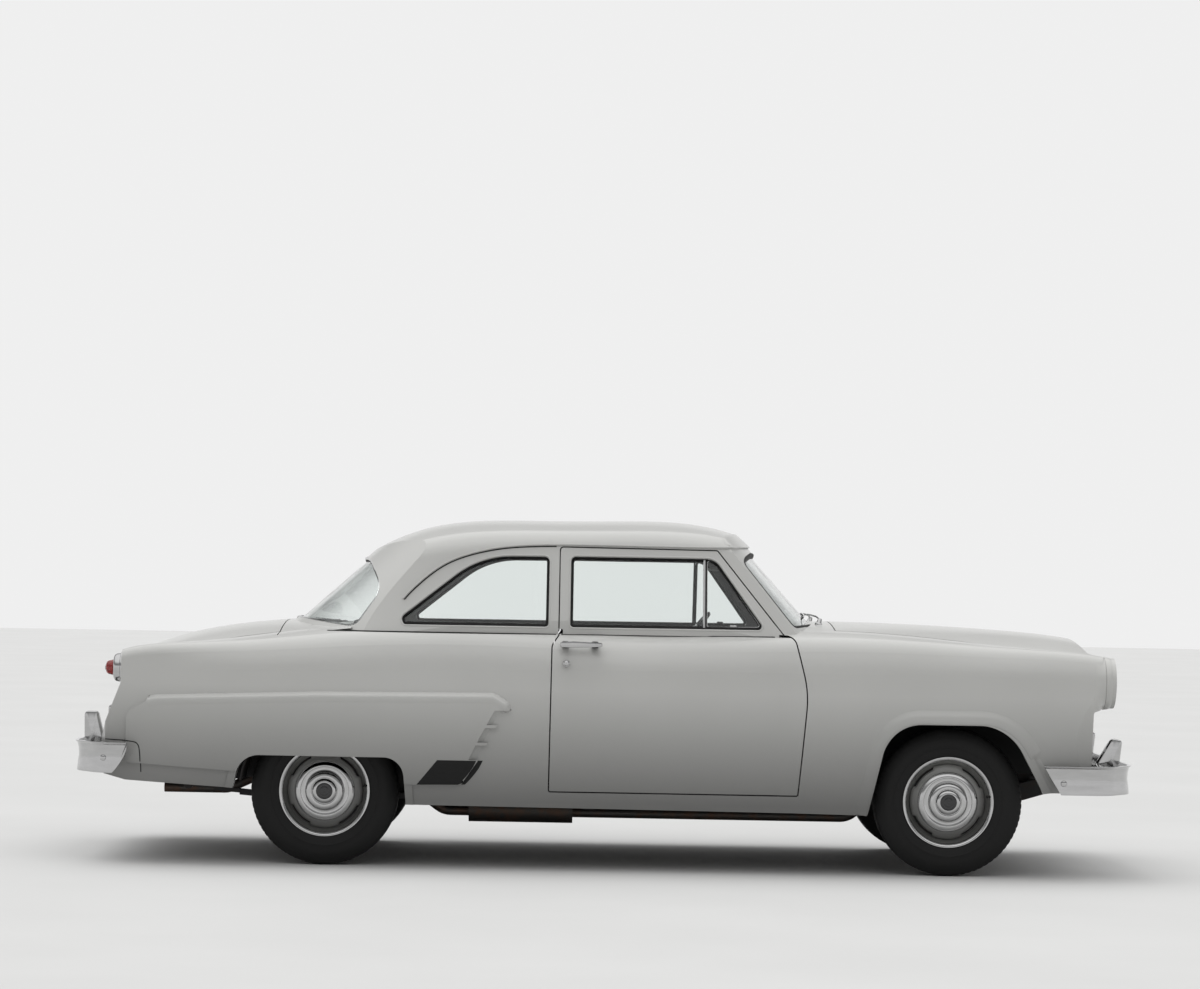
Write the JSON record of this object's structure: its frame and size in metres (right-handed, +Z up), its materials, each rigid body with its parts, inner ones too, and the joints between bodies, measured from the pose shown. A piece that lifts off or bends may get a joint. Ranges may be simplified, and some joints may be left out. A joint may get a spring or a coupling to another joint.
{
  "type": "two-door sedan car of the 1950s",
  "caption": "Two-door 1950s sedan with hinged doors, hood and trunk lid, bench seats, separate frame, steered front wheels and a live rear axle.",
  "frame": {"origin": "on the ground under the middle of the car's length and width", "axes": "+X towards the front, +Y to the car's left, +Z up"},
  "size_m": [4.9953, 1.912, 1.649],
  "materials": {
    "paint": "smooth gloss enamel, pale grey",
    "glass": "clear safety glass",
    "lamp_glass": "fluted lamp lens",
    "chassis": "black chassis paint",
    "upholstery": "woven seat cloth with vinyl",
    "dash_paint": "satin enamel",
    "wheel_rim_plastic": "moulded rim",
    "exhaust_steel": "dull steel",
    "chrome": "bright plating",
    "engine_iron": "painted cast iron",
    "tyre": "black rubber",
    "wheel_paint": "gloss enamel on pressed steel"
  },
  "bodies": {
    "body": {"chassis_frame": "chassis", "cowl": "paint", "dashboard": "dash_paint", "engine": "engine_iron", "exhaust": "exhaust_steel", "floor_pan": "chassis", "front_bumper": "chrome", "front_fender_left": "paint", "front_fender_right": "paint", "front_seat": "upholstery", "front_suspension": "chassis", "fuel_tank": "exhaust_steel", "grille": "chrome", "headlamps": "lamp_glass", "nose_panel": "paint", "quarter_panel_left": "paint", "quarter_panel_right": "paint", "quarter_windows": "glass", "radiator": "chassis", "rear_axle": "chassis", "rear_bumper": "chrome", "rear_deck": "paint", "rear_seat": "upholstery", "rear_window": "glass", "roof": "paint", "steering_column": "dash_paint", "tail_lamps": "chrome", "tail_panel": "paint", "windscreen": "glass"},
    "hood": {"hood": "paint"},
    "trunk_lid": {"trunk_lid": "paint"},
    "steering_wheel": {"steering_wheel": "wheel_rim_plastic"},
    "tie_rod": {"tie_rod": "chassis"},
    "door_left": {"door_left": "paint", "door_glass_left": "glass"},
    "door_right": {"door_right": "paint", "door_glass_right": "glass"},
    "knuckle_left": {"knuckle_left": "chassis"},
    "knuckle_right": {"knuckle_right": "chassis"},
    "wheel_front_left": {"tyre_front_left": "tyre", "wheel_front_left": "wheel_paint"},
    "wheel_front_right": {"tyre_front_right": "tyre", "wheel_front_right": "wheel_paint"},
    "wheel_rear_left": {"tyre_rear_left": "tyre", "wheel_rear_left": "wheel_paint"},
    "wheel_rear_right": {"tyre_rear_right": "tyre", "wheel_rear_right": "wheel_paint"}
  },
  "joints": [
    {"name": "door_right_hinge", "type": "hinge", "parent": "body", "child": "door_right", "pos_m": [0.948, -0.922, 0.7], "axis": [0, 0, 1], "range_deg": [0, 62]},
    {"name": "door_left_hinge", "type": "hinge", "parent": "body", "child": "door_left", "pos_m": [0.948, 0.922, 0.7], "axis": [0, 0, -1], "range_deg": [0, 62]},
    {"name": "hood_hinge", "type": "hinge", "parent": "body", "child": "hood", "pos_m": [1.085, 0, 1.185], "axis": [0, -1, 0], "range_deg": [0, 45]},
    {"name": "trunk_hinge", "type": "hinge", "parent": "body", "child": "trunk_lid", "pos_m": [-1.54, 0, 1.165], "axis": [0, 1, 0], "range_deg": [0, 60]},
    {"name": "steering_left", "type": "hinge", "parent": "body", "child": "knuckle_left", "pos_m": [1.617, 0.6165, 0.347], "axis": [0, 0, 1], "range_deg": [-30, 30]},
    {"name": "steering_right", "type": "hinge", "parent": "body", "child": "knuckle_right", "pos_m": [1.617, -0.6165, 0.347], "axis": [0, 0, 1], "range_deg": [-30, 30]},
    {"name": "steering_wheel_turn", "type": "hinge", "parent": "body", "child": "steering_wheel", "pos_m": [0.395, 0.38, 1.035], "axis": [-0.7814, 0, 0.624], "range_deg": [-760, 760]},
    {"name": "tie_rod_slide", "type": "slide", "parent": "body", "child": "tie_rod", "axis": [0, 1, 0], "range_m": [-0.08, 0.08]},
    {"name": "wheel_front_left_spin", "type": "hinge", "parent": "knuckle_left", "child": "wheel_front_left", "pos_m": [1.617, 0.7365, 0.347], "axis": [0, 1, 0], "continuous": true},
    {"name": "wheel_rear_left_spin", "type": "hinge", "parent": "body", "child": "wheel_rear_left", "pos_m": [-1.304, 0.711, 0.347], "axis": [0, 1, 0], "continuous": true},
    {"name": "wheel_front_right_spin", "type": "hinge", "parent": "knuckle_right", "child": "wheel_front_right", "pos_m": [1.617, -0.7365, 0.347], "axis": [0, 1, 0], "continuous": true},
    {"name": "wheel_rear_right_spin", "type": "hinge", "parent": "body", "child": "wheel_rear_right", "pos_m": [-1.304, -0.711, 0.347], "axis": [0, 1, 0], "continuous": true}
  ],
  "couplings": [
    {"joint": "steering_right", "follows": "steering_left", "ratio": 1},
    {"joint": "steering_wheel_turn", "follows": "steering_left", "ratio": 25},
    {"joint": "tie_rod_slide", "follows": "steering_left", "m_per_rad": -0.14}
  ]
}
